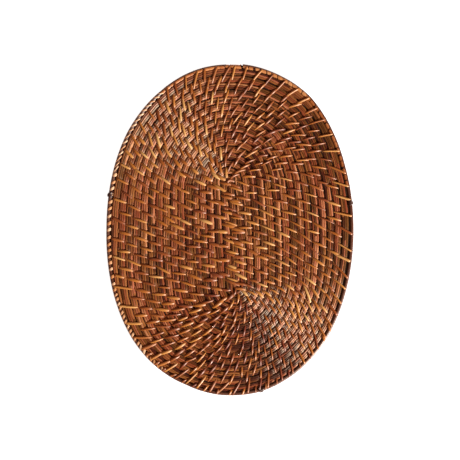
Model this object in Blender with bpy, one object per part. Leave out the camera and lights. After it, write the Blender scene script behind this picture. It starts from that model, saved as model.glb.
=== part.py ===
"""Oval placemat of coiled cane: flat canes in a bundle, wound as one oval spiral whose rows stand
proud on both faces, and a thin round cane bent round the last row as the rim."""

import math

import bmesh
import bpy
from mathutils import Matrix, Vector

# Overall size, in metres. The long axis is Y, and the underside lies at Z = 0.
WIDTH = 0.3000
LENGTH = 0.4010
THICKNESS = 0.0060
SQUARENESS = 2.137  # exponent of the oval, where 2 is a true ellipse

# Handwork: how far the outline stands outside that oval, as (angle from +X in degrees, millimetres).
UNEVENNESS = (
    (0, 0.0),
    (30, -1.3),
    (45, -0.3),
    (60, 1.7),
    (72, 0.3),
    (100, 0.1),
    (117, -1.1),
    (138, 0.5),
    (180, 0.0),
    (229, 0.5),
    (240, -0.3),
    (255, -2.1),
    (268, 0.3),
    (281, 0.8),
    (292, 0.0),
    (312, 0.6),
    (330, 0.0),
    (360, 0.0),
)

# The straight core: the bundle turns round its two ends.
CORE_TOP = Vector((-0.0028, 0.0592))
CORE_FOOT = Vector((0.0078, -0.0706))

# The winding, outwards and counter-clockwise seen from above.
WHOLE_ROWS = 15
CORE_START = math.radians(95)  # where the bundle starts, at the core's top end
COIL_END = math.radians(235)  # where its last row has narrowed to nothing
END_TAPER = math.radians(55)

# A row's section: a flat crest between two grooves.
GROOVE_DEPTH = 0.0013
CREST_FROM, CREST_TO = 0.24, 0.76  # shares of the row's width
EDGE_DROP = 0.0017  # how far the outer edge is rounded down from the crests

# The rim cane, whose outer end laps over its inner end.
RIM_WIDTH = 0.0044
RIM_SIDES = 8
RIM_JOIN = 33.8  # place of its outer end, in steps round the mat
LAP_STEPS = 1.6
LAP_SHARE_AT_END, LAP_SHARE_AT_TIP = 0.50, 0.80  # of the rim's width, for the outer of the two ends
LAP_STAND_OUT = 0.0008  # how far the outer end stands out of the outline
LAP_THINNEST = 0.6  # height of a pared end, as a share of the full height
GAP = 0.0003  # between pieces that touch

# Steps round the mat: radial lines fan out from each end of the core, and are parallel between them.
FAN_STEPS = 20
SIDE_STEPS = 5
HALF_ROUND = FAN_STEPS + SIDE_STEPS
ROUND = 2 * HALF_ROUND

CANE_BROWN = (0.19, 0.075, 0.025, 1.0)
RIM_BROWN = (0.26, 0.11, 0.04, 1.0)
CANE_ROUGHNESS = 0.45

MERGE = 1e-6
SHARP_FROM = math.radians(50)


def between(value, low, high):
    return max(low, min(high, value))


def unevenness(angle):
    """How far the outline stands out at this angle, in metres."""
    degrees = math.degrees(angle) % 360
    for (first, out_first), (second, out_second) in zip(UNEVENNESS, UNEVENNESS[1:]):
        if degrees <= second:
            share = (degrees - first) / (second - first)
            return (out_first + share * (out_second - out_first)) / 1000
    return 0.0


def outline_radius(angle):
    """Distance from the middle of the mat to its outline."""
    across = abs(math.cos(angle)) / (WIDTH / 2)
    along = abs(math.sin(angle)) / (LENGTH / 2)
    return (across**SQUARENESS + along**SQUARENESS) ** (-1 / SQUARENESS) + unevenness(angle)


def ray(place):
    """(point on the core, outward direction) of the radial line at this place, counted in steps
    counter-clockwise from the left of the core's foot."""
    core = CORE_TOP - CORE_FOOT
    rightwards = Vector((core.y, -core.x)).normalized()
    half, step = divmod(place % ROUND, HALF_ROUND)
    if half == 0:
        pole, other, first = CORE_FOOT, CORE_TOP, -rightwards
    else:
        pole, other, first = CORE_TOP, CORE_FOOT, rightwards
    if step < FAN_STEPS:
        return pole, Matrix.Rotation(math.pi * step / FAN_STEPS, 2) @ first
    return pole.lerp(other, (step - FAN_STEPS) / SIDE_STEPS), -first


def reach(place):
    """Distance from the core to the outline along the radial line at this place."""
    start, direction = ray(place)
    inside, outside = 0.0, LENGTH
    while outside - inside > MERGE:
        middle = (inside + outside) / 2
        point = start + middle * direction
        if point.length < outline_radius(math.atan2(point.y, point.x)):
            inside = middle
        else:
            outside = middle
    return inside


def angle_of(place):
    """Angle of the outline's point at this place, seen from the middle of the mat."""
    start, direction = ray(place)
    point = start + reach(place) * direction
    return math.atan2(point.y, point.x)


def coil_end_place():
    """The whole step that lies nearest to the end of the coil."""
    return min(range(ROUND), key=lambda place: abs(math.remainder(angle_of(place) - COIL_END, math.tau)))


def turn_share(angle, end_angle):
    """Share of a turn from the end of the coil to this angle."""
    return ((angle - end_angle) % math.tau) / math.tau


def rows_across(turn, first_part):
    """Number of rows between core and edge: it grows by one round the mat, and the last row's
    taper takes that one away again."""
    taper = END_TAPER / math.tau
    through = between((turn - (1 - taper)) / taper, 0.0, 1.0)
    smooth = through * through * (3 - 2 * through)
    return WHOLE_ROWS + first_part + min(turn, 1 - taper) * (1 - smooth)


def section(turn, first_part):
    """The profile from core to edge, as (share of the way, drop below the crests)."""
    across = rows_across(turn, first_part)
    half_row = 0.5 / across
    bounds = [between((k + first_part + turn) / across, 0.0, 1.0) for k in range(-1, WHOLE_ROWS + 1)]
    points = [(0.0, 0.0)]
    for inner, outer in zip([0.0] + bounds, bounds):
        width = outer - inner
        narrowed = between(1 - (1 - inner) / half_row, 0.0, 1.0)
        at_edge = between(1 - (1 - outer) / half_row, 0.0, 1.0)
        groove = GROOVE_DEPTH * between(outer / half_row, 0.0, 1.0)
        crest_drop = EDGE_DROP * narrowed
        points.append((inner + CREST_FROM * width, crest_drop))
        points.append((inner + CREST_TO * width, crest_drop))
        points.append((outer, groove + (EDGE_DROP - groove) * at_edge))
    return points


def finished(name, mesh, colour):
    """An object of this mesh, closed, facing out, smooth and with its own material."""
    bmesh.ops.remove_doubles(mesh, verts=mesh.verts, dist=MERGE)
    bmesh.ops.dissolve_degenerate(mesh, edges=mesh.edges, dist=MERGE)
    bmesh.ops.recalc_face_normals(mesh, faces=mesh.faces)
    data = bpy.data.meshes.new(name)
    mesh.to_mesh(data)
    mesh.free()
    data.shade_smooth()
    data.set_sharp_from_angle(angle=SHARP_FROM)
    material = bpy.data.materials.new(name)
    material.use_nodes = True
    shader = material.node_tree.nodes["Principled BSDF"]
    shader.inputs["Base Color"].default_value = colour
    shader.inputs["Roughness"].default_value = CANE_ROUGHNESS
    shader.inputs["Metallic"].default_value = 0.0
    data.materials.append(material)
    piece = bpy.data.objects.new(name, data)
    bpy.context.scene.collection.objects.link(piece)
    return piece


def coiled_mat():
    """The coiled foundation as one solid, with the spiral's rows raised on both faces."""
    end_place = coil_end_place()
    end_angle = angle_of(end_place)
    first_part = 1 - turn_share(CORE_START, end_angle)
    mesh = bmesh.new()
    columns = []
    for step in range(ROUND + 1):
        place = end_place + step
        turn = step // ROUND or turn_share(angle_of(place), end_angle)
        start, direction = ray(place)
        edge = reach(place) - RIM_WIDTH - GAP
        top, underside = [], []
        for share, drop in section(turn, first_part):
            point = start + share * edge * direction
            top.append(mesh.verts.new((*point, THICKNESS - drop)))
            underside.append(mesh.verts.new((*point, drop)))
        columns.append(top + underside[::-1])
    for column, following in zip(columns, columns[1:]):
        for inner in range(len(column) - 1):
            mesh.faces.new((column[inner], column[inner + 1], following[inner + 1], following[inner]))
    return finished("coiled_mat", mesh, CANE_BROWN)


def rim_stations():
    """The rim cane's sections from its outer end, clockwise round the mat to its inner end under
    the lap, as (place, distance of its outer side from the outline, distance of its inner side)."""
    whole = range(math.floor(RIM_JOIN - LAP_STEPS), math.ceil(RIM_JOIN) - ROUND, -1)
    end, tip = LAP_SHARE_AT_END * RIM_WIDTH, LAP_SHARE_AT_TIP * RIM_WIDTH
    half_lap = (end + tip) / 2
    outer_end = [
        (RIM_JOIN, -LAP_STAND_OUT, end),
        (RIM_JOIN - LAP_STEPS / 2, -LAP_STAND_OUT / 2, half_lap),
    ]
    inner_end = [
        (RIM_JOIN - ROUND, end + GAP, RIM_WIDTH),
        (RIM_JOIN - ROUND - LAP_STEPS / 2, half_lap + GAP, RIM_WIDTH),
        (RIM_JOIN - ROUND - LAP_STEPS, tip + GAP, RIM_WIDTH),
    ]
    return outer_end + [(place, 0.0, RIM_WIDTH) for place in whole] + inner_end


def rim_cane():
    """The round cane lashed on as the rim, with pared ends that lap."""
    mesh = bmesh.new()
    rings = []
    for place, outer, inner in rim_stations():
        start, direction = ray(place)
        half_width = (inner - outer) / 2
        centre = start + (reach(place) - (inner + outer) / 2) * direction
        fullness = min(1.0, (inner - outer) / RIM_WIDTH)
        half_height = RIM_WIDTH / 2 * (LAP_THINNEST + (1 - LAP_THINNEST) * fullness)
        ring = []
        for side in range(RIM_SIDES):
            angle = math.tau * (side + 0.5) / RIM_SIDES
            point = centre + half_width * math.cos(angle) * direction
            ring.append(mesh.verts.new((*point, THICKNESS / 2 + half_height * math.sin(angle))))
        rings.append(ring)
    for ring, following in zip(rings, rings[1:]):
        for side in range(RIM_SIDES):
            after = (side + 1) % RIM_SIDES
            mesh.faces.new((ring[side], ring[after], following[after], following[side]))
    mesh.faces.new(rings[0])
    mesh.faces.new(rings[-1])
    return finished("rim_cane", mesh, RIM_BROWN)


def main():
    for leftover in list(bpy.data.objects):
        bpy.data.objects.remove(leftover)
    coiled_mat()
    rim_cane()


main()
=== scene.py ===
"""Looks of the oval placemat: flat canes coiled in rows, the peel stitches that bind them, and the
round rim cane with its lashing."""

import math

import bmesh
import bpy
import numpy as np
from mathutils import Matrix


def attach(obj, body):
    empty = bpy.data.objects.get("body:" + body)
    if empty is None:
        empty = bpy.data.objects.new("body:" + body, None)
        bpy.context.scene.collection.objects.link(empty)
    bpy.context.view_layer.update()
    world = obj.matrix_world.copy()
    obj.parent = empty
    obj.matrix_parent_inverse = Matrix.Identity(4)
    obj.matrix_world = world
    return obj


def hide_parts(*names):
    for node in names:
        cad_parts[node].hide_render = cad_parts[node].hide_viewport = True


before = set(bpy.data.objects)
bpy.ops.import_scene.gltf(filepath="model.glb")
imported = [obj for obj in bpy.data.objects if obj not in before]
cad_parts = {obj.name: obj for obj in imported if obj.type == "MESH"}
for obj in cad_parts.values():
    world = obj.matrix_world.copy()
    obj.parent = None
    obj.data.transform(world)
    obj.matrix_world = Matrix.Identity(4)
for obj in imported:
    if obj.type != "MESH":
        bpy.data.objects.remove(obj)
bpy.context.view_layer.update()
bpy.ops.object.select_all(action="DESELECT")

# The mat's own sizes, in metres, as its solids have them. The long axis is Y.
WIDTH = 0.3000
LENGTH = 0.4010
THICKNESS = 0.0060
SQUARENESS = 2.137

# Handwork: how far the outline stands outside that oval, as (angle from +X in degrees, millimetres).
UNEVENNESS = (
    (0, 0.0),
    (30, -1.3),
    (45, -0.3),
    (60, 1.7),
    (72, 0.3),
    (100, 0.1),
    (117, -1.1),
    (138, 0.5),
    (180, 0.0),
    (229, 0.5),
    (240, -0.3),
    (255, -2.1),
    (268, 0.3),
    (281, 0.8),
    (292, 0.0),
    (312, 0.6),
    (330, 0.0),
    (360, 0.0),
)

CORE_TOP = np.array((-0.0028, 0.0592))
CORE_FOOT = np.array((0.0078, -0.0706))

# The winding, outwards and counter-clockwise seen from above.
WHOLE_ROWS = 15
CORE_START = math.radians(95)
COIL_END = math.radians(235)
END_TAPER = math.radians(55)

RIM_WIDTH = 0.0044
RIM_JOIN = 33.8
LAP_STEPS = 1.6
LAP_SHARE_AT_END, LAP_SHARE_AT_TIP = 0.50, 0.80
LAP_STAND_OUT = 0.0008
LAP_THINNEST = 0.6
GAP = 0.0003

# Steps round the mat: radial lines fan out from each end of the core, and are parallel between them.
FAN_STEPS = 20
SIDE_STEPS = 5
HALF_ROUND = FAN_STEPS + SIDE_STEPS
ROUND = 2 * HALF_ROUND
FINE_STEPS = 60  # in each of these steps, where the outline and the coil are measured
HALVINGS = 24  # of the search for the outline along a radial line
COIL_POINTS = 20001  # along the middle line of the whole bundle

# Flat canes: strands side by side in each row, each in pieces end to end.
STRANDS = 3
CANE_TOP = 0.0053  # height of the highest canes above the table
CANE_THICK = 0.0015
CANE_ROUNDING = 0.34  # share of a cane's width that is rounded over at each side
CANE_DOME = 0.00036
ROW_CROWN, CROWN_POWER = 0.0012, 2.4  # how much lower a row's outer canes lie
CANE_SEGMENTS = 32
SEGMENT_ABOVE, SEGMENT_BELOW = 0.0023, 0.0032
SHORTEST_CANE = 0.035
CANE_LIFTS = (-0.00018, 0.00008)  # how much higher one cane lies than another
CANE_TILT = 0.00015
CANE_SAG, SAG_WAVE = 0.00012, 0.013  # slow ups and downs along the coil, and the length of one
ROW_GAP = 0.066  # half the gap between rows, as a share of a row
SEAM = 0.022  # half the gap between strands, as a share of a row
GAP_TO_RIGHT = 0.3  # how much the gaps between rows are wider at the mat's right, narrower at its left
GAP_CHANGE, INNER_WAVE, OUTER_WAVE = 0.75, 0.021, 0.017  # how they change along the coil
STRAND_CHANGE, STRAND_WAVE = 0.055, 0.045  # how the widths of the strands change
SEAM_POINTS = 12001  # along the coil, where those changes are measured
# Gap between the rim and the last row's canes, as (place in steps round the core, millimetres).
RIM_GAPS = (
    (0, 1.3),
    (3, 0.7),
    (8, 0.4),
    (17, 0.6),
    (20, 1.4),
    (26, 1.4),
    (29, 0.5),
    (36, 0.4),
    (41, 0.6),
    (45, 1.3),
    (50, 1.3),
)
PUSH = 0.07  # how far a stitch's end parts the canes, as a share of a row
PUSH_LENGTH = 0.0032
PUSH_BREADTH = 0.32
PUSH_EDGE = 0.05  # share of a row from one side of a stitch's end to the other
DIP = 0.0006  # how deep a stitch presses into the canes
DIP_LENGTH = 0.0024
DIP_EDGE = 0.12  # share of a row over which it rises again at the stitch's ends
STITCH_REACH = 0.012  # stitches further off than this don't move a cane

# Peel stitches, from the row before to the gap outside their own row.
STITCH_FROM, STITCH_TO = -0.93, 1.03  # in rows from the inner side of their own row
START_JITTER, END_JITTER = 0.14, 0.04  # in rows
STITCH_INSET = 0.0003  # how far inside the outline the outermost ones end
STITCH_THICK = 0.0023
STITCH_FLOOR = 0.0032  # in the inner layer, where a stitch's lower parts are pressed flat
PRESSED_SHARE = 0.1  # of its thickness that it keeps there
STITCH_TOP = 0.0065
STITCH_LIFTS = (-0.0002, 0.0001)  # how much higher one stitch lies than another
STITCH_DIVE = 0.0029  # how far its ends go down between the canes
STITCH_SEGMENTS = 12
STITCH_ROUNDING = 0.45  # share of its width that is rounded over at each side
BEND, EDGE_BEND = 2.1, 7  # exponents of the arch: the last row's stitches bend round the rim
MIRROR = STITCH_TOP + 0.0001  # sum of a point's height and its twin's on the lower face

# Slant of the stitches, clockwise from the radial line going outwards, as (place in steps round the
# core, degrees in the outer rows). It is nearer to INNER_SLANT in the inner rows.
INNER_SLANT = 18
SLANT_ROWS, LEAST_SHARE = 9, 0.3  # the table counts fully from this row on, less at the core
SLANT_JITTER = 6
SLANTS = (
    (0, 17),
    (2, 18),
    (4, 23),
    (7, 23),
    (10, 20),
    (14, 21),
    (16.5, 32),
    (18.5, 42),
    (21, 35),
    (23.5, 26),
    (26, 17),
    (29, 21),
    (36, 20),
    (39, 25),
    (41.5, 31),
    (45.5, 30),
    (48, 19),
    (50, 17),
)

# Spacing of the stitches along the outermost row, as (place in steps round the core, millimetres),
# and how much closer they are in the innermost one.
SPACINGS = (
    (0, 18.5),
    (2, 15),
    (4, 14),
    (7, 14),
    (10, 15),
    (14, 15.5),
    (17, 13.5),
    (19, 15.5),
    (22, 20),
    (25, 18.5),
    (27, 15),
    (31, 15.5),
    (35, 14),
    (38, 12.5),
    (41, 17),
    (45, 20),
    (50, 18.5),
)
INNER_SPACING = 0.88
SPACING_JITTER = (0.9, 1.1)
FIRST_STITCH = 0.006  # metres along the coil
LAST_TURN = WHOLE_ROWS + 0.93  # the stitches end before it
SNAP = 0.33  # share of the spacing within which a stitch moves to between two of the row before
EDGE_ROWS = 1.5  # a stitch goes to the edge where fewer rows than this are left

# Width of the stitches, as (place in steps round the core, millimetres).
STITCH_WIDTHS = (
    (0, 3.2),
    (4, 3.0),
    (7, 2.5),
    (10, 2.2),
    (14, 2.1),
    (18, 2.6),
    (22, 2.6),
    (27, 2.3),
    (33, 2.3),
    (40, 3.0),
    (44, 3.2),
    (50, 3.2),
)
WIDTH_JITTER = (0.8, 1.25)
CORE_WIDENING, CORE_ROWS = 0.2, 6  # how much wider they are at the core, and over how many rows
TIP_WIDTH, ARCH_WIDTH = 0.8, 0.2  # shares of the width at a stitch's ends, and added in its middle

# How much lighter the cane and stitches are painted by place, as painted shade and light for how the light
# falls round the mat: darker at the foot, lighter at the upper left. As (place in steps round the core,
# share of the range).
PAINTED_LIGHT_BY_PLACE = (
    (0, -0.02),
    (4, -0.04),
    (7, -0.16),
    (10, -0.28),
    (14, -0.30),
    (16.5, 0.08),
    (19, 0.08),
    (21, 0.0),
    (26, 0.0),
    (30, -0.08),
    (33, -0.04),
    (37, 0.14),
    (42, 0.12),
    (45, 0.0),
    (50, -0.02),
)

# Lashing turns on the rim cane, as (from, to, spacing, slant, width, thickness, how far inwards,
# darkest and lightest tone): angles from +X and slant in degrees, sizes in millimetres.
LASHING = (
    (22, 62, 8.0, 15, 7.6, 0.5, 0.8, 0.12, 0.30),
    (62, 86, 7.4, 25, 6.6, 0.8, 0.6, 0.30, 0.55),
    (88, 118, 6.6, 28, 7.2, 0.8, 0.7, 0.18, 0.40),
    (118, 156, 7.4, 58, 2.8, 1.2, 0.5, 0.50, 0.90),
    (156, 208, 8.2, 22, 4.0, 1.6, 0.9, 0.40, 0.90),
    (208, 246, 6.2, 36, 3.4, 1.5, 0.6, 0.50, 0.90),
)
LASHING_JITTER = (0.85, 1.15)
LASHING_SLANT_JITTER = 4
BARE_RIM = (118, 208)  # the last row's stitches pass over the rim, but not between these angles
SHORT_STITCHES = (236, 322)  # between these angles, short ones lie between those of the last row
SHORT_LENGTHS = (0.9, 1.25)  # in rows
KNOTS = ((13.4, 3.0, 2.6), (164.8, 4.0, 3.4), (282.0, 3.2, 2.8))  # (angle, width, thickness)
KNOT_TURNS = ((-0.6, 25), (0.6, -25), (0, 0))  # (degrees along the rim, slant)
KNOT_TONE = -0.5
RING_SECTION = 0.2  # radius of a lashing turn's section before it is brought to size
RING_STEPS, RING_SIDES = 18, 6
NEARBY_STEPS = 0.01  # to each side of a turn, where the rim's direction is measured

# The rim cane in steps and sides, and its length for the pattern.
RIM_SPLITS = (100, 5)
RIM_SIDES = 14
RIM_LENGTH = 1.15

# The inner layer, between the canes of the two faces. Its near-black colour is painted shade for the deep
# gaps between rows and strands.
LAYER_CORNERS = 300
LAYER_INSET = 0.001
LAYER_THICK = 0.0008

# The grain pattern: it runs on down a piece's sides by these shares, along and across it.
GRAIN_ALONG, GRAIN_ACROSS = 0.4, 0.6
ROW_BREADTH = 0.009  # what it takes for a row's width
PEEL_LENGTH, PEEL_BREADTH = 0.015, 0.0017  # and for a stitch's length and width

TINY = 1e-4
SHARP_FROM = math.radians(55)


def unevenness(angles):
    """How far the outline stands out at these angles, in metres."""
    degrees, millimetres = np.array(UNEVENNESS).T
    return np.interp(np.degrees(angles) % 360, degrees, millimetres) / 1000


def outline_radius(angles):
    """Distance from the middle of the mat to its outline."""
    across = np.abs(np.cos(angles)) / (WIDTH / 2)
    along = np.abs(np.sin(angles)) / (LENGTH / 2)
    return (across**SQUARENESS + along**SQUARENESS) ** (-1 / SQUARENESS) + unevenness(angles)


def rays(places):
    """(points on the core, outward directions) of the radial lines at these places, counted in
    steps counter-clockwise from the left of the core's foot."""
    core = CORE_TOP - CORE_FOOT
    rightwards = np.array((core[1], -core[0])) / np.hypot(*core)
    half, step = np.divmod(np.asarray(places) % ROUND, HALF_ROUND)
    at_foot = (half == 0)[..., None]
    pole = np.where(at_foot, CORE_FOOT, CORE_TOP)
    other = np.where(at_foot, CORE_TOP, CORE_FOOT)
    first = np.where(at_foot, -rightwards, rightwards)
    turned = math.pi * np.minimum(step / FAN_STEPS, 1)
    along = np.maximum((step - FAN_STEPS) / SIDE_STEPS, 0)[..., None]
    cosine, sine = np.cos(turned), np.sin(turned)
    direction = np.stack(
        (first[..., 0] * cosine - first[..., 1] * sine, first[..., 0] * sine + first[..., 1] * cosine),
        axis=-1,
    )
    return pole + along * (other - pole), direction


def reaches(places):
    """Distances from the core to the outline along the radial lines at these places."""
    start, direction = rays(places)
    inside, outside = np.zeros(len(places)), np.full(len(places), LENGTH)
    for _ in range(HALVINGS):
        middle = (inside + outside) / 2
        point = start + middle[:, None] * direction
        within = np.hypot(*point.T) < outline_radius(np.arctan2(point[:, 1], point[:, 0]))
        inside = np.where(within, middle, inside)
        outside = np.where(within, outside, middle)
    return inside


def polar_angles(places, reach):
    """Angles of the outline's points at these places, seen from the middle of the mat."""
    start, direction = rays(places)
    point = start + reach[:, None] * direction
    return np.arctan2(point[:, 1], point[:, 0])


def turn_shares(angles, end_angle):
    """Shares of a turn from the end of the coil to these angles."""
    return ((angles - end_angle) % math.tau) / math.tau


# The round in fine steps, from the end of the coil.
whole_places = np.arange(ROUND, dtype=float)
whole_angles = polar_angles(whole_places, reaches(whole_places))
end_place = whole_places[np.argmin(np.abs(np.angle(np.exp(1j * (whole_angles - COIL_END)))))]
fine_places = end_place + np.arange(ROUND * FINE_STEPS + 1) / FINE_STEPS
fine_reach = reaches(fine_places)
fine_angles = polar_angles(fine_places, fine_reach)
end_angle = fine_angles[0]
fine_turns = turn_shares(fine_angles, end_angle)
fine_turns[0], fine_turns[-1] = 0.0, 1.0
first_part = 1 - turn_shares(CORE_START, end_angle)


def reach_at(places):
    """Distances from the core to the outline, read from the fine steps."""
    return np.interp((places - end_place) % ROUND + end_place, fine_places, fine_reach)


def edges_at(places):
    """How far inside the outline the last row's canes end, at these places."""
    return RIM_WIDTH + np.interp(places % ROUND, *np.array(RIM_GAPS).T) / 1000


def eased(share):
    """The share with a soft start and end."""
    return share**2 * (3 - 2 * share)


def places_at(turns):
    """Places of the radial lines this many turns along the coil."""
    return np.interp(np.asarray(turns) % 1, fine_turns, fine_places)


def rows_across(turns):
    """Number of rows between core and edge, this many turns along the coil: it grows by one round
    the mat, and the last row's taper takes that one away again."""
    share = np.asarray(turns) % 1
    taper = END_TAPER / math.tau
    through = np.clip((share - (1 - taper)) / taper, 0, 1)
    return WHOLE_ROWS + first_part + np.minimum(share, 1 - taper) * (1 - eased(through))


def on_row(turns, rows):
    """Points in the plane of the mat, this many turns along the coil and this many rows out from
    the core, and no further out than the stitches go."""
    places = places_at(turns)
    start, direction = rays(places)
    reach = reach_at(places)
    distance = np.minimum(rows / rows_across(turns) * (reach - edges_at(places)), reach - STITCH_INSET)
    return start + distance[..., None] * direction


def row_width(turns):
    """Width of a row this many turns along the coil, in metres."""
    places = places_at(turns)
    return (reach_at(places) - edges_at(places)) / rows_across(turns)


# The middle line of the bundle from its start to its end, and its length up to each point.
coil_turns = np.linspace(-first_part, WHOLE_ROWS + 1, COIL_POINTS)
coil_line = on_row(coil_turns, np.maximum(first_part + coil_turns - 0.5, 0))
coil_lengths = np.concatenate(([0], np.cumsum(np.hypot(*np.diff(coil_line, axis=0).T))))
COIL_LENGTH = coil_lengths[-1]


def turns_at(lengths):
    """How many turns along the coil these lengths of it are, in metres."""
    return np.interp(lengths, coil_lengths, coil_turns)


def lengths_at(turns):
    """Lengths of the coil up to these turns, in metres."""
    return np.interp(turns, coil_turns, coil_lengths)


def inner_side(turns):
    """Distance of the bundle's inner side from the core, in rows."""
    return first_part + turns - 1


def by_place(table, turns):
    """What a table by place says for this point of the coil."""
    return float(np.interp(places_at(turns) % ROUND, *np.array(table).T))


def wander(positions, step, random):
    """A smooth random line, between -1 and 1 at its knots."""
    knots = random.uniform(-1, 1, int(COIL_LENGTH / step) + 3)
    at = np.asarray(positions) / step
    low = np.floor(at).astype(int)
    share = eased(at - low)
    return knots[low] * (1 - share) + knots[low + 1] * share


def select_edges(piece, wanted):
    """In edit mode, selects the edges whose two ends pass the test, and no others."""
    mesh = bmesh.from_edit_mesh(piece.data)
    mesh.select_mode = {"EDGE"}
    for part in (mesh.faces, mesh.edges, mesh.verts):
        for element in part:
            element.select = False
    for edge in mesh.edges:
        edge.select = wanted(edge.verts[0].co, edge.verts[1].co)
    mesh.select_flush_mode()
    bmesh.update_edit_mesh(piece.data)


def shape_of(piece):
    """(corners, faces) of a finished template, which is then put away."""
    corners = np.array([tuple(v.co) for v in piece.data.vertices])
    faces = [tuple(p.vertices) for p in piece.data.polygons]
    bpy.data.objects.remove(piece)
    return corners, faces


def split_strip(segments, rounding, rounding_steps):
    """A strip one unit long, wide and thick, from X = 0 to 1, with its upper long edges rounded."""
    bpy.ops.mesh.primitive_cube_add(size=1, location=(0.5, 0, 0.5))
    strip = bpy.context.object
    bpy.ops.object.transform_apply(location=True)
    bpy.ops.object.mode_set(mode="EDIT")
    bpy.ops.mesh.select_mode(type="EDGE")
    select_edges(strip, lambda a, b: abs(a.x - b.x) > 0.5 and a.z > 0.5)
    bpy.ops.mesh.bevel(offset=rounding, segments=rounding_steps)
    select_edges(strip, lambda a, b: abs(a.x - b.x) > 0.5)
    bpy.ops.mesh.subdivide(number_cuts=segments - 1)
    bpy.ops.object.mode_set(mode="OBJECT")
    return shape_of(strip)


def joined_copies(name, shape, places, grain, tones):
    """One object of all the copies of a shape. places holds the corners of each copy, grain its
    length and breadth coordinates at each corner, and tones one number a copy."""
    corners, faces = shape
    per_copy = len(corners)
    all_faces = [tuple(v + k * per_copy for v in face) for k in range(len(places)) for face in faces]
    data = bpy.data.meshes.new(name)
    data.from_pydata(np.array(places).reshape(-1, 3), [], all_faces)
    grain_map = data.uv_layers.new(name="grain")
    corner_of_loop = np.zeros(len(data.loops), dtype=np.int32)
    data.loops.foreach_get("vertex_index", corner_of_loop)
    grain_of_loop = np.array(grain).reshape(-1, 2)[corner_of_loop]
    grain_map.data.foreach_set("uv", grain_of_loop.astype(np.float32).ravel())
    tone = data.attributes.new("tone", "FLOAT", "POINT")
    tone.data.foreach_set("value", np.repeat(tones, per_copy).astype(np.float32))
    piece = bpy.data.objects.new(name, data)
    bpy.context.scene.collection.objects.link(piece)
    bpy.ops.object.select_all(action="DESELECT")
    bpy.context.view_layer.objects.active = piece
    piece.select_set(True)
    bpy.ops.object.mode_set(mode="EDIT")
    bpy.ops.mesh.select_all(action="SELECT")
    bpy.ops.mesh.normals_make_consistent(inside=False)
    bpy.ops.object.mode_set(mode="OBJECT")
    bpy.ops.object.shade_smooth_by_angle(angle=SHARP_FROM)
    piece.select_set(False)
    return piece


def seams(lengths, random):
    """The lines between strands along the coil, from the row's inner side to its outer side, as
    shares of the row's width. The rows are pulled tighter on the mat's left."""
    rightness = np.interp(lengths, coil_lengths, coil_line[:, 0]) / (WIDTH / 2)
    gap = ROW_GAP * (1 + GAP_TO_RIGHT * rightness)
    inner = gap * (1 + GAP_CHANGE * wander(lengths, INNER_WAVE, random))
    outer = 1 - gap * (1 + GAP_CHANGE * wander(lengths, OUTER_WAVE, random))
    lines = [inner]
    for strand in range(1, STRANDS):
        share = strand / STRANDS + STRAND_CHANGE * wander(lengths, STRAND_WAVE, random)
        lines.append(inner + share * (outer - inner))
    return lines + [outer]


def cane_pieces(start, end, longest, random):
    """(strand, start, end) of every piece of flat cane on this length of the coil, in metres."""
    pieces = []
    for strand in range(STRANDS):
        at = start
        while at < end:
            stop = min(at + random.uniform(SHORTEST_CANE, longest), end)
            pieces.append((strand, at, stop))
            at = stop
    return pieces


def parted(lengths, share, marks):
    """(push across the row, dip) of the canes at these points of the coil, where the stitches press
    on them and go down between them."""
    nearby = (lengths.min() - STITCH_REACH, lengths.max() + STITCH_REACH)
    first, last = np.searchsorted(marks[0], nearby)
    middle, centre, lean, begin, end = (mark[first:last, None] for mark in marks)
    aside = lengths - middle + (share - centre) * lean
    push = np.zeros(share.shape)
    for tip in (begin, end):
        off = share - tip
        near = np.exp(-((aside / PUSH_LENGTH) ** 2) - (off / PUSH_BREADTH) ** 2)
        push += np.sum(np.tanh(off / PUSH_EDGE) * near, axis=0)
    under = (np.tanh((share - begin) / DIP_EDGE) + np.tanh((end - share) / DIP_EDGE)) / 2
    dip = np.max(np.exp(-((aside / DIP_LENGTH) ** 2)) * np.maximum(under, 0), axis=0, initial=0)
    return PUSH * push, DIP * dip


def flat_canes(name, shape, upper, reach_of_coil, marks, seed):
    """The flat canes on one length of the coil, on one face of the mat."""
    random = np.random.default_rng(seed)
    table = np.linspace(0, COIL_LENGTH, SEAM_POINTS)
    lines = seams(table, random)
    sag = CANE_SAG * wander(table, SAG_WAVE, random)
    corners = shape[0]
    drop = np.where(corners[:, 2] > TINY, (1 - corners[:, 2]) / CANE_ROUNDING * CANE_DOME, CANE_THICK)
    longest = CANE_SEGMENTS * (SEGMENT_ABOVE if upper else SEGMENT_BELOW)
    places, grain, tones = [], [], []
    for strand, start, end in cane_pieces(*reach_of_coil, longest, random):
        lengths = start + corners[:, 0] * (end - start)
        turns = turns_at(lengths)
        inner = np.interp(lengths, table, lines[strand]) + (SEAM if strand else 0)
        outer = np.interp(lengths, table, lines[strand + 1]) - (SEAM if strand < STRANDS - 1 else 0)
        share = (inner + outer) / 2 + corners[:, 1] * (outer - inner)
        push, dip = parted(lengths, share, marks)
        rows = np.clip(inner_side(turns) + share + push, 0, rows_across(turns))
        point = on_row(turns, rows)
        crown = ROW_CROWN * np.abs(2 * share - 1) ** CROWN_POWER
        lift = random.uniform(*CANE_LIFTS)
        tilt = random.uniform(-CANE_TILT, CANE_TILT)
        top = CANE_TOP - crown - dip + lift + tilt * corners[:, 1] + np.interp(lengths, table, sag)
        height = top - drop
        if not upper:
            height = MIRROR - height
        places.append(np.column_stack((point, height)))
        breadth = corners[:, 1] * (outer - inner) * ROW_BREADTH + random.uniform(0, 1)
        grain.append(np.column_stack((lengths + GRAIN_ALONG * drop, breadth + GRAIN_ACROSS * drop)))
        # Random tone from piece to piece, plus painted shade and light by place round the mat.
        tones.append(random.uniform(0, 1) + by_place(PAINTED_LIGHT_BY_PLACE, turns_at((start + end) / 2)))
    return joined_copies(name, shape, places, grain, tones)


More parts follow.
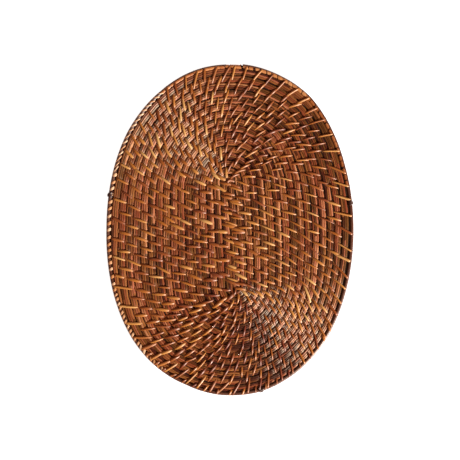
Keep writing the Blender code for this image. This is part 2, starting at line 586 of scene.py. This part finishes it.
def slant_at(turns):
    """Usual slant of a stitch whose middle lies this many turns along the coil."""
    outwards = np.clip(inner_side(turns) / SLANT_ROWS, LEAST_SHARE, 1)
    return math.radians(INNER_SLANT + outwards * (by_place(SLANTS, turns) - INNER_SLANT))


def lean_at(turns, random):
    """How far a stitch here leans back along the coil in each row, in metres."""
    slant = slant_at(turns) + math.radians(random.normal(0, SLANT_JITTER))
    return row_width(turns) * math.tan(slant)


def spacing_at(length):
    """The usual distance from one stitch to the next, at this length along the coil."""
    turns = turns_at(length)
    outwards = (first_part + turns) / (WHOLE_ROWS + 1)
    closer = INNER_SPACING + (1 - INNER_SPACING) * outwards
    return closer * by_place(SPACINGS, turns) / 1000


def stitch_lengths(random):
    """Where the stitches lie along the coil, in metres: at about the usual spacing, and between two
    stitches of the row before where such a place is near."""
    found = [FIRST_STITCH]
    between = []
    while True:
        target = spacing_at(found[-1])
        wanted = found[-1] + target * random.uniform(*SPACING_JITTER)
        near = [length for length in between if abs(length - wanted) < SNAP * target]
        if near:
            wanted = min(near, key=lambda length: abs(length - wanted))
        if turns_at(wanted) >= LAST_TURN:
            return found
        found.append(wanted)
        turns = turns_at((found[-2] + found[-1]) / 2) + 1
        if turns < WHOLE_ROWS + 1:
            between.append(lengths_at(turns) - math.tan(slant_at(turns)) * row_width(turns))


def at_edge(turns):
    """Whether the stitches of this row go to the edge: no row, or a narrowed one, lies outside it."""
    return rows_across(turns) - inner_side(turns) < EDGE_ROWS


def seen_between(point, angles):
    """Whether the point lies between two angles from +X, in degrees, seen from the mat's middle."""
    first, last = angles
    return first < math.degrees(math.atan2(point[1], point[0])) % 360 < last


def edge_of_row(turns):
    """How far the outermost stitches reach, in rows from the inner side of their row: to the edge
    of the last cane, or over the rim nearly to the outline."""
    to_edge = rows_across(turns) - inner_side(turns)
    if seen_between(on_row(turns, inner_side(turns) + to_edge), BARE_RIM):
        return to_edge
    return to_edge + (edges_at(places_at(turns)) - STITCH_INSET) / row_width(turns)


def stitch_plan(random):
    """Every stitch as (length of its middle along the coil, its start and end across the rows, and
    how far it leans back along the coil in each row)."""
    plan = []
    for length in stitch_lengths(random):
        begin = STITCH_FROM + random.uniform(-START_JITTER, START_JITTER)
        end = STITCH_TO + random.uniform(-END_JITTER, END_JITTER)
        turns = turns_at(length)
        if at_edge(turns):
            end = edge_of_row(turns)
        plan.append((length, begin, end, lean_at(turns, random)))
    return plan + short_stitches(plan, random)


def short_stitches(plan, random):
    """Short stitches over the rim at the mat's foot, one between every two of the last row, as in
    stitch_plan."""
    short = []
    last_row = [stitch for stitch in plan if at_edge(turns_at(stitch[0]))]
    for before, after in zip(last_row, last_row[1:]):
        length = (before[0] + after[0]) / 2
        turns = turns_at(length)
        end = edge_of_row(turns)
        if seen_between(on_row(turns, inner_side(turns) + end), SHORT_STITCHES):
            begin = end - random.uniform(*SHORT_LENGTHS)
            short.append((length, begin, end, lean_at(turns, random)))
    return short


def stitch_marks(plan):
    """The stitches as the canes of each row meet them, sorted by length along the coil: (length,
    share across the row) of the middle, lean, start and end."""
    marks = []
    for length, begin, end, lean in plan:
        for rows_out in (-1, 0, 1):
            turns = turns_at(length) + rows_out
            if -first_part <= turns <= WHOLE_ROWS + 1:
                shares = np.array(((begin + end) / 2, begin, end)) - rows_out
                marks.append((lengths_at(turns), shares[0], lean, shares[1], shares[2]))
    marks.sort()
    return np.array(marks).T


def peel_stitches(name, shape, upper, plan, seed):
    """All the stitches on one face of the mat."""
    random = np.random.default_rng(seed)
    corners = shape[0]
    share = corners[:, 0]
    at = np.rint(share * STITCH_SEGMENTS).astype(int)
    depth = STITCH_THICK * (1 - corners[:, 2])
    along_peel = share * PEEL_LENGTH + GRAIN_ALONG * depth
    across_peel = corners[:, 1] * PEEL_BREADTH + GRAIN_ACROSS * depth
    on_peel = np.column_stack((along_peel, across_peel))
    places, grain, tones = [], [], []
    for length, begin, end, lean in plan:
        middle = turns_at(length)
        across = np.linspace(begin, end, STITCH_SEGMENTS + 1)
        along = length - (across - (begin + end) / 2) * lean
        turns = turns_at(along)
        line = on_row(turns, inner_side(turns) + across)
        tangent = np.gradient(line, axis=0)
        tangent /= np.hypot(*tangent.T)[:, None]
        sideways = np.column_stack((-tangent[:, 1], tangent[:, 0]))
        outer_bend = EDGE_BEND if at_edge(middle) else BEND
        arch = 1 - np.abs(2 * share - 1) ** np.where(share < 0.5, BEND, outer_bend)
        bolder = 1 + CORE_WIDENING * max(0, 1 - inner_side(middle) / CORE_ROWS)
        width = by_place(STITCH_WIDTHS, middle) / 1000
        breadth = width * bolder * random.uniform(*WIDTH_JITTER) * (TIP_WIDTH + ARCH_WIDTH * arch)
        point = line[at] + (corners[:, 1] * breadth)[:, None] * sideways[at]
        top = STITCH_TOP + random.uniform(*STITCH_LIFTS) - STITCH_DIVE * (1 - arch)
        height = np.maximum(top - depth, STITCH_FLOOR - PRESSED_SHARE * depth)
        if not upper:
            height = MIRROR - height
        places.append(np.column_stack((point, height)))
        grain.append(on_peel + random.uniform(0, 1, 2))
        # Random tone from stitch to stitch, plus painted shade and light by place round the mat.
        tones.append(random.uniform(0, 1) + by_place(PAINTED_LIGHT_BY_PLACE, middle))
    return joined_copies(name, shape, places, grain, tones)


def dark_layer():
    """The dark inner layer that the canes of both faces lie against, with its flat size and area; its
    darkness is painted shade for the gaps between them.
    """
    bpy.ops.mesh.primitive_circle_add(vertices=LAYER_CORNERS, fill_type="NGON")
    piece = bpy.context.object
    piece.name = "inner_layer"
    places = end_place + ROUND * np.arange(LAYER_CORNERS) / LAYER_CORNERS
    start, direction = rays(places)
    edge = reach_at(places) - LAYER_INSET
    outline = start + edge[:, None] * direction
    for vertex, point in zip(piece.data.vertices, outline):
        vertex.co = (*point, MIRROR / 2)
    wall = piece.modifiers.new("wall", "SOLIDIFY")
    wall.thickness = LAYER_THICK
    wall.offset = 0
    bpy.ops.object.modifier_apply(modifier="wall")
    x, y = outline.T
    area = abs(np.sum(x * np.roll(y, -1) - y * np.roll(x, -1))) / 2
    flat = np.ptp(outline, axis=0)
    piece.select_set(False)
    return piece, flat, area


def round_cane(splits, sides):
    """A round rod one unit long along X, of radius one half, split into parts and those again."""
    bpy.ops.mesh.primitive_cylinder_add(vertices=sides, radius=0.5, depth=1)
    rod = bpy.context.object
    bpy.ops.object.mode_set(mode="EDIT")
    bpy.ops.mesh.select_mode(type="EDGE")
    for parts in splits:
        select_edges(rod, lambda a, b: (a - b).xy.length < TINY)
        bpy.ops.mesh.subdivide(number_cuts=parts - 1)
    bpy.ops.object.mode_set(mode="OBJECT")
    corners, faces = shape_of(rod)
    return np.column_stack((corners[:, 2] + 0.5, corners[:, 0], corners[:, 1])), faces


def rim_sides(places):
    """(outer, inner) distances of the rim cane's sides from the outline at these places, counted
    down from its outer end."""
    end, tip = LAP_SHARE_AT_END * RIM_WIDTH, LAP_SHARE_AT_TIP * RIM_WIDTH
    half_lap = (end + tip) / 2
    stations = (
        (RIM_JOIN, -LAP_STAND_OUT, end),
        (RIM_JOIN - LAP_STEPS / 2, -LAP_STAND_OUT / 2, half_lap),
        (RIM_JOIN - LAP_STEPS, 0.0, RIM_WIDTH),
        (RIM_JOIN - ROUND + 1, 0.0, RIM_WIDTH),
        (RIM_JOIN - ROUND, end + GAP, RIM_WIDTH),
        (RIM_JOIN - ROUND - LAP_STEPS / 2, half_lap + GAP, RIM_WIDTH),
        (RIM_JOIN - ROUND - LAP_STEPS, tip + GAP, RIM_WIDTH),
    )
    at, outer, inner = np.array(stations[::-1]).T
    return np.interp(places, at, outer), np.interp(places, at, inner)


def rim_cane():
    """The round cane round the last row, with pared ends that lap."""
    shape = round_cane(RIM_SPLITS, RIM_SIDES)
    corners = shape[0]
    places = RIM_JOIN - corners[:, 0] * (ROUND + LAP_STEPS)
    outer, inner = rim_sides(places)
    start, direction = rays(places)
    centre = start + (reach_at(places) - (inner + outer) / 2)[:, None] * direction
    point = centre + (corners[:, 1] * (inner - outer))[:, None] * direction
    fullness = np.minimum(1, (inner - outer) / RIM_WIDTH)
    height = THICKNESS / 2 + corners[:, 2] * RIM_WIDTH * (LAP_THINNEST + (1 - LAP_THINNEST) * fullness)
    around = np.arctan2(corners[:, 2], corners[:, 1]) * RIM_WIDTH / 2
    grain = np.column_stack((corners[:, 0] * RIM_LENGTH, around))
    return joined_copies("rim_cane_round", shape, [np.column_stack((point, height))], [grain], [0.5])


def ring():
    """A ring of radius one, for a turn of lashing."""
    bpy.ops.mesh.primitive_torus_add(
        major_radius=1, minor_radius=RING_SECTION, major_segments=RING_STEPS, minor_segments=RING_SIDES
    )
    return shape_of(bpy.context.object)


def lashing_turns(random):
    """(place, slant, width, thickness, shift inwards, tone) of every turn of peel round the rim."""
    turns = []
    for first, last, spacing, slant, width, thick, inwards, darkest, lightest in LASHING:
        angle = first
        while angle < last:
            lean = math.radians(slant + random.normal(0, LASHING_SLANT_JITTER))
            tone = random.uniform(darkest, lightest)
            width_here = width * random.uniform(*LASHING_JITTER) / 1000
            turns.append((angle, lean, width_here, thick / 1000, inwards / 1000, tone))
            radius = outline_radius(math.radians(angle))
            angle += math.degrees(spacing / 1000 * random.uniform(*LASHING_JITTER) / radius)
    for angle, width, thick in KNOTS:
        for step, slant in KNOT_TURNS:
            turns.append((angle + step, math.radians(slant), width / 1000, thick / 1000, 0, KNOT_TONE))
    order = np.argsort(np.unwrap(fine_angles))
    rising = np.unwrap(fine_angles)[order]
    start = rising[0]
    return [
        (np.interp((math.radians(angle) - start) % math.tau + start, rising, fine_places[order]), *rest)
        for angle, *rest in turns
    ]


def rim_lashing(name, seed):
    """The peel wound round the rim cane, and its small knots."""
    random = np.random.default_rng(seed)
    shape = ring()
    corners = shape[0]
    around = np.arctan2(corners[:, 1], corners[:, 0])
    outwards = (np.hypot(corners[:, 0], corners[:, 1]) - 1) / (2 * RING_SECTION)
    sidewards = corners[:, 2] / (2 * RING_SECTION)
    places, grain, tones = [], [], []
    for place, lean, width, thick, inwards, tone in lashing_turns(random):
        nearby = np.array((place - NEARBY_STEPS, place + NEARBY_STEPS))
        start, direction = rays(nearby)
        centres = start + (reach_at(nearby) - RIM_WIDTH / 2 - inwards)[:, None] * direction
        centre, outward = centres.mean(axis=0), direction.mean(axis=0)
        tangent = centres[1] - centres[0]
        tangent /= np.hypot(*tangent)
        radius = RIM_WIDTH / 2 + outwards * thick
        along = sidewards * width + np.cos(around) * RIM_WIDTH / 2 * math.tan(lean)
        point = centre + (radius * np.cos(around))[:, None] * outward + along[:, None] * tangent
        height = np.maximum(THICKNESS / 2 + radius * np.sin(around), 0)
        places.append(np.column_stack((point, height)))
        grain.append(np.column_stack((around * RIM_WIDTH / 2, sidewards * width)) + random.uniform(0, 1, 2))
        tones.append(tone)
    return joined_copies(name, shape, places, grain, tones)


def node(tree, kind, **settings):
    """A new shader node of this kind, with these settings."""
    made = tree.nodes.new(kind)
    for name, value in settings.items():
        setattr(made, name, value)
    return made


def grain_noise(tree, along, across, detail):
    """Streaks that run along the cane, in its own length and breadth coordinates."""
    grain = node(tree, "ShaderNodeUVMap", uv_map="grain")
    scaled = node(tree, "ShaderNodeMapping")
    scaled.inputs["Scale"].default_value = (along, across, 1)
    noise = node(tree, "ShaderNodeTexNoise")
    noise.inputs["Scale"].default_value = 1
    noise.inputs["Detail"].default_value = detail
    tree.links.new(grain.outputs["UV"], scaled.inputs["Vector"])
    tree.links.new(scaled.outputs["Vector"], noise.inputs["Vector"])
    return noise


def object_noise(tree, scale, detail):
    """Stains that spread over the whole mat."""
    coordinates = node(tree, "ShaderNodeTexCoord")
    noise = node(tree, "ShaderNodeTexNoise")
    noise.inputs["Scale"].default_value = scale
    noise.inputs["Detail"].default_value = detail
    tree.links.new(coordinates.outputs["Object"], noise.inputs["Vector"])
    return noise


def mixed(tree, parts):
    """The weighted sum of outputs, as (output, weight) pairs."""
    total = None
    for output, weight in parts:
        scaled = node(tree, "ShaderNodeMath", operation="MULTIPLY_ADD")
        tree.links.new(output, scaled.inputs[0])
        scaled.inputs[1].default_value = weight
        scaled.inputs[2].default_value = 0
        if total is not None:
            tree.links.new(total, scaled.inputs[2])
        total = scaled.outputs[0]
    return total


def ramp(tree, value, stops):
    """A colour ramp with (position, linear colour) stops."""
    made = node(tree, "ShaderNodeValToRGB")
    elements = made.color_ramp.elements
    for _ in stops[2:]:
        elements.new(1)
    for element, (position, colour) in zip(elements, stops):
        element.position = position
        element.color = (*colour, 1)
    tree.links.new(value, made.inputs["Fac"])
    return made.outputs["Color"]


# Noise of the finishes: (along, across, detail) of the streaks, and (scale, detail) of the stains.
FINE_STREAKS = (60, 1500, 2)
BROAD_STREAKS = (20, 480, 2)
STAINS = (26, 3)
BROAD_SHARE, FINE_SHARE = 0.6, 0.4
NOISE_RANGE = (0.3, 0.7)
SMOOTHER, ROUGHER = 0.09, 0.12  # how far the roughness goes either way
QUARTER_TURN = 0.25
BUMP_STRENGTH = 0.6


def cane_finish(name, stops, roughness, gloss, fibre, tint, streaks, stains, bump):
    """Stained cane: tone from piece to piece, which also carries painted shade and light by place
    round the mat, streaks along it and stains over the whole mat. Its fibres shine across their own length."""
    material = bpy.data.materials.new(name)
    material.use_nodes = True
    tree = material.node_tree
    shader = tree.nodes["Principled BSDF"]
    tone = node(tree, "ShaderNodeAttribute", attribute_name="tone")
    fine = grain_noise(tree, *FINE_STREAKS)
    broad = grain_noise(tree, *BROAD_STREAKS)
    cloudy = object_noise(tree, *STAINS)
    value = mixed(
        tree,
        (
            (tone.outputs["Fac"], 1 - streaks - stains),
            (broad.outputs["Fac"], streaks * BROAD_SHARE),
            (fine.outputs["Fac"], streaks * FINE_SHARE),
            (cloudy.outputs["Fac"], stains),
        ),
    )
    tree.links.new(ramp(tree, value, stops), shader.inputs["Base Color"])
    rough = node(tree, "ShaderNodeMapRange")
    rough.inputs["From Min"].default_value, rough.inputs["From Max"].default_value = NOISE_RANGE
    rough.inputs["To Min"].default_value = roughness - SMOOTHER
    rough.inputs["To Max"].default_value = roughness + ROUGHER
    tree.links.new(broad.outputs["Fac"], rough.inputs["Value"])
    tree.links.new(rough.outputs["Result"], shader.inputs["Roughness"])
    shader.inputs["Specular IOR Level"].default_value = gloss
    shader.inputs["Specular Tint"].default_value = (*tint, 1)
    shader.inputs["Anisotropic"].default_value = fibre
    shader.inputs["Anisotropic Rotation"].default_value = QUARTER_TURN
    along = node(tree, "ShaderNodeTangent", direction_type="UV_MAP", uv_map="grain")
    tree.links.new(along.outputs["Tangent"], shader.inputs["Tangent"])
    relief = node(tree, "ShaderNodeBump")
    relief.inputs["Strength"].default_value = BUMP_STRENGTH
    relief.inputs["Distance"].default_value = bump
    tree.links.new(fine.outputs["Fac"], relief.inputs["Height"])
    tree.links.new(relief.outputs["Normal"], shader.inputs["Normal"])
    return material


# Tints of the shine, and colours of the stained cane from dark to light.
AMBER = (0.98, 0.84, 0.62)
STRAW = (0.86, 0.80, 0.69)
CANE_STOPS = (
    (0.22, (0.045, 0.006, 0.003)),
    (0.36, (0.100, 0.036, 0.006)),
    (0.50, (0.185, 0.038, 0.014)),
    (0.62, (0.218, 0.081, 0.018)),
    (0.72, (0.285, 0.082, 0.038)),
    (0.82, (0.430, 0.200, 0.080)),
)
STITCH_STOPS = (
    (0.14, (0.120, 0.018, 0.004)),
    (0.38, (0.220, 0.060, 0.008)),
    (0.58, (0.300, 0.102, 0.013)),
    (0.74, (0.375, 0.165, 0.034)),
    (0.86, (0.480, 0.290, 0.100)),
)
LASHING_STOPS = (
    (0.08, (0.030, 0.007, 0.004)),
    (0.28, (0.280, 0.080, 0.014)),
    (0.50, (0.440, 0.190, 0.060)),
    (0.80, (0.620, 0.440, 0.270)),
)
RIM_STOPS = (
    (0.25, (0.025, 0.006, 0.003)),
    (0.50, (0.065, 0.018, 0.008)),
    (0.80, (0.170, 0.065, 0.028)),
)
# Near-black painted shade for the inner layer, seen in the gaps between rows and strands.
PAINTED_SHADE_STOPS = (
    (0.3, (0.010, 0.004, 0.002)),
    (0.7, (0.030, 0.010, 0.005)),
)

cane_shape = split_strip(CANE_SEGMENTS, CANE_ROUNDING, 1)
stitch_shape = split_strip(STITCH_SEGMENTS, STITCH_ROUNDING, 2)

split_cane = cane_finish(
    "split_cane",
    CANE_STOPS,
    roughness=0.55,
    gloss=1.0,
    fibre=0.85,
    tint=AMBER,
    streaks=0.30,
    stains=0.12,
    bump=0.00002,
)
golden_peel = cane_finish(
    "golden_peel",
    STITCH_STOPS,
    roughness=0.48,
    gloss=0.85,
    fibre=0.5,
    tint=STRAW,
    streaks=0.25,
    stains=0.15,
    bump=0.00002,
)
lashing_peel = cane_finish(
    "lashing_peel",
    LASHING_STOPS,
    roughness=0.46,
    gloss=0.6,
    fibre=0.3,
    tint=STRAW,
    streaks=0.25,
    stains=0.1,
    bump=0.00002,
)
rim_finish = cane_finish(
    "rim_cane",
    RIM_STOPS,
    roughness=0.42,
    gloss=0.9,
    fibre=0.4,
    tint=STRAW,
    streaks=0.5,
    stains=0.35,
    bump=0.00005,
)
# The inner layer's finish: painted shade, near black.
inner_shade_finish = cane_finish(
    "inner_cane_painted_shade",
    PAINTED_SHADE_STOPS,
    roughness=0.8,
    gloss=0.2,
    fibre=0,
    tint=AMBER,
    streaks=0.2,
    stains=0.4,
    bump=0.0001,
)

HALF_COIL = 0.5 * COIL_LENGTH
stitches, canes = [], []
for face, upper, seed in (("above", True, 10), ("below", False, 20)):
    plan = stitch_plan(np.random.default_rng(seed))
    marks = stitch_marks(plan)
    stitches.append(peel_stitches(f"peel_stitches_{face}", stitch_shape, upper, plan, seed + 1))
    for part, lengths, offset in (("inner", (0.0, HALF_COIL), 2), ("outer", (HALF_COIL, COIL_LENGTH), 3)):
        name = f"flat_canes_{face}_{part}"
        canes.append(flat_canes(name, cane_shape, upper, lengths, marks, seed + offset))
inner_layer, inner_flat, inner_area = dark_layer()
rim_round = rim_cane()
lashing = rim_lashing("rim_lashing", seed=31)

for piece, finish, slot in (
    *((piece, split_cane, "cane") for piece in canes),
    *((piece, golden_peel, "cane") for piece in stitches),
    (inner_layer, inner_shade_finish, "cane"),
    (rim_round, rim_finish, "rim"),
    (lashing, lashing_peel, "rim"),
):
    piece.data.materials.clear()
    piece.data.materials.append(finish)
    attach(piece, "root")

for piece in (inner_layer, *canes, *stitches):
    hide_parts("coiled_mat")
for piece in (rim_round, lashing):
    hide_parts("rim_cane")


# Floor, light and camera
FLOOR_SIZE = 12
FLOOR_HEIGHT = -0.0002  # just below the mat
FLOOR_COLOUR = (0.5, 0.5, 0.5, 1)
FLOOR_ROUGHNESS = 0.9
FLOOR_GLOW = 0.93  # brings it up to white
ROOM_COLOUR = (0.21, 0.062, 0.029, 1)  # what the room gives the mat
BACKDROP_COLOUR = (1, 1, 1, 1)  # what is seen behind the floor
CAMERA_HEIGHT = 1.6
PICTURE_WIDTH = 0.5588  # what the picture takes in across the table, in metres
PICTURE_TURN = math.radians(0.9)
PICTURE_SHIFT = (0.0, -0.00024)

bpy.ops.mesh.primitive_plane_add(size=FLOOR_SIZE, location=(0, 0, FLOOR_HEIGHT))
floor = bpy.context.object
floor.name = "floor"
floor_finish = bpy.data.materials.new("pale_floor")
floor_finish.use_nodes = True
floor_shader = floor_finish.node_tree.nodes["Principled BSDF"]
floor_shader.inputs["Base Color"].default_value = FLOOR_COLOUR
floor_shader.inputs["Roughness"].default_value = FLOOR_ROUGHNESS
floor_shader.inputs["Emission Color"].default_value = (1, 1, 1, 1)
floor_shader.inputs["Emission Strength"].default_value = FLOOR_GLOW
floor.data.materials.append(floor_finish)


def area_light(name, azimuth, elevation, distance, size, energy, colour):
    """A square lamp that faces the mat, its azimuth counter-clockwise from +X."""
    across = math.cos(elevation) * distance
    place = (across * math.cos(azimuth), across * math.sin(azimuth), math.sin(elevation) * distance)
    bpy.ops.object.light_add(type="AREA", location=place)
    lamp = bpy.context.object
    lamp.name = name
    lamp.rotation_euler = (math.pi / 2 - elevation, 0, azimuth + math.pi / 2)
    lamp.data.size = size
    lamp.data.energy = energy
    lamp.data.color = colour


area_light(
    "key_light",
    azimuth=math.radians(-40),
    elevation=math.radians(24),
    distance=3.0,
    size=0.5,
    energy=264,
    colour=(1, 0.935, 0.90),
)
area_light(
    "fill_light",
    azimuth=math.radians(120),
    elevation=math.radians(60),
    distance=2.0,
    size=1.6,
    energy=8,
    colour=(1, 0.82, 0.68),
)

world = bpy.context.scene.world or bpy.data.worlds.new("studio")
bpy.context.scene.world = world
world.use_nodes = True
sky = world.node_tree.nodes["Background"]
seen = node(world.node_tree, "ShaderNodeLightPath")
room_or_backdrop = node(world.node_tree, "ShaderNodeMix", data_type="RGBA")
room_or_backdrop.inputs["A"].default_value = ROOM_COLOUR
room_or_backdrop.inputs["B"].default_value = BACKDROP_COLOUR
world.node_tree.links.new(seen.outputs["Is Camera Ray"], room_or_backdrop.inputs["Factor"])
world.node_tree.links.new(room_or_backdrop.outputs["Result"], sky.inputs["Color"])
sky.inputs["Strength"].default_value = 1
bpy.context.scene.view_settings.view_transform = "Standard"

bpy.ops.object.camera_add(location=(*PICTURE_SHIFT, CAMERA_HEIGHT), rotation=(0, 0, PICTURE_TURN))
camera = bpy.context.object
camera.data.lens = camera.data.sensor_width * CAMERA_HEIGHT / PICTURE_WIDTH
camera.data.dof.use_dof = False
bpy.context.scene.camera = camera
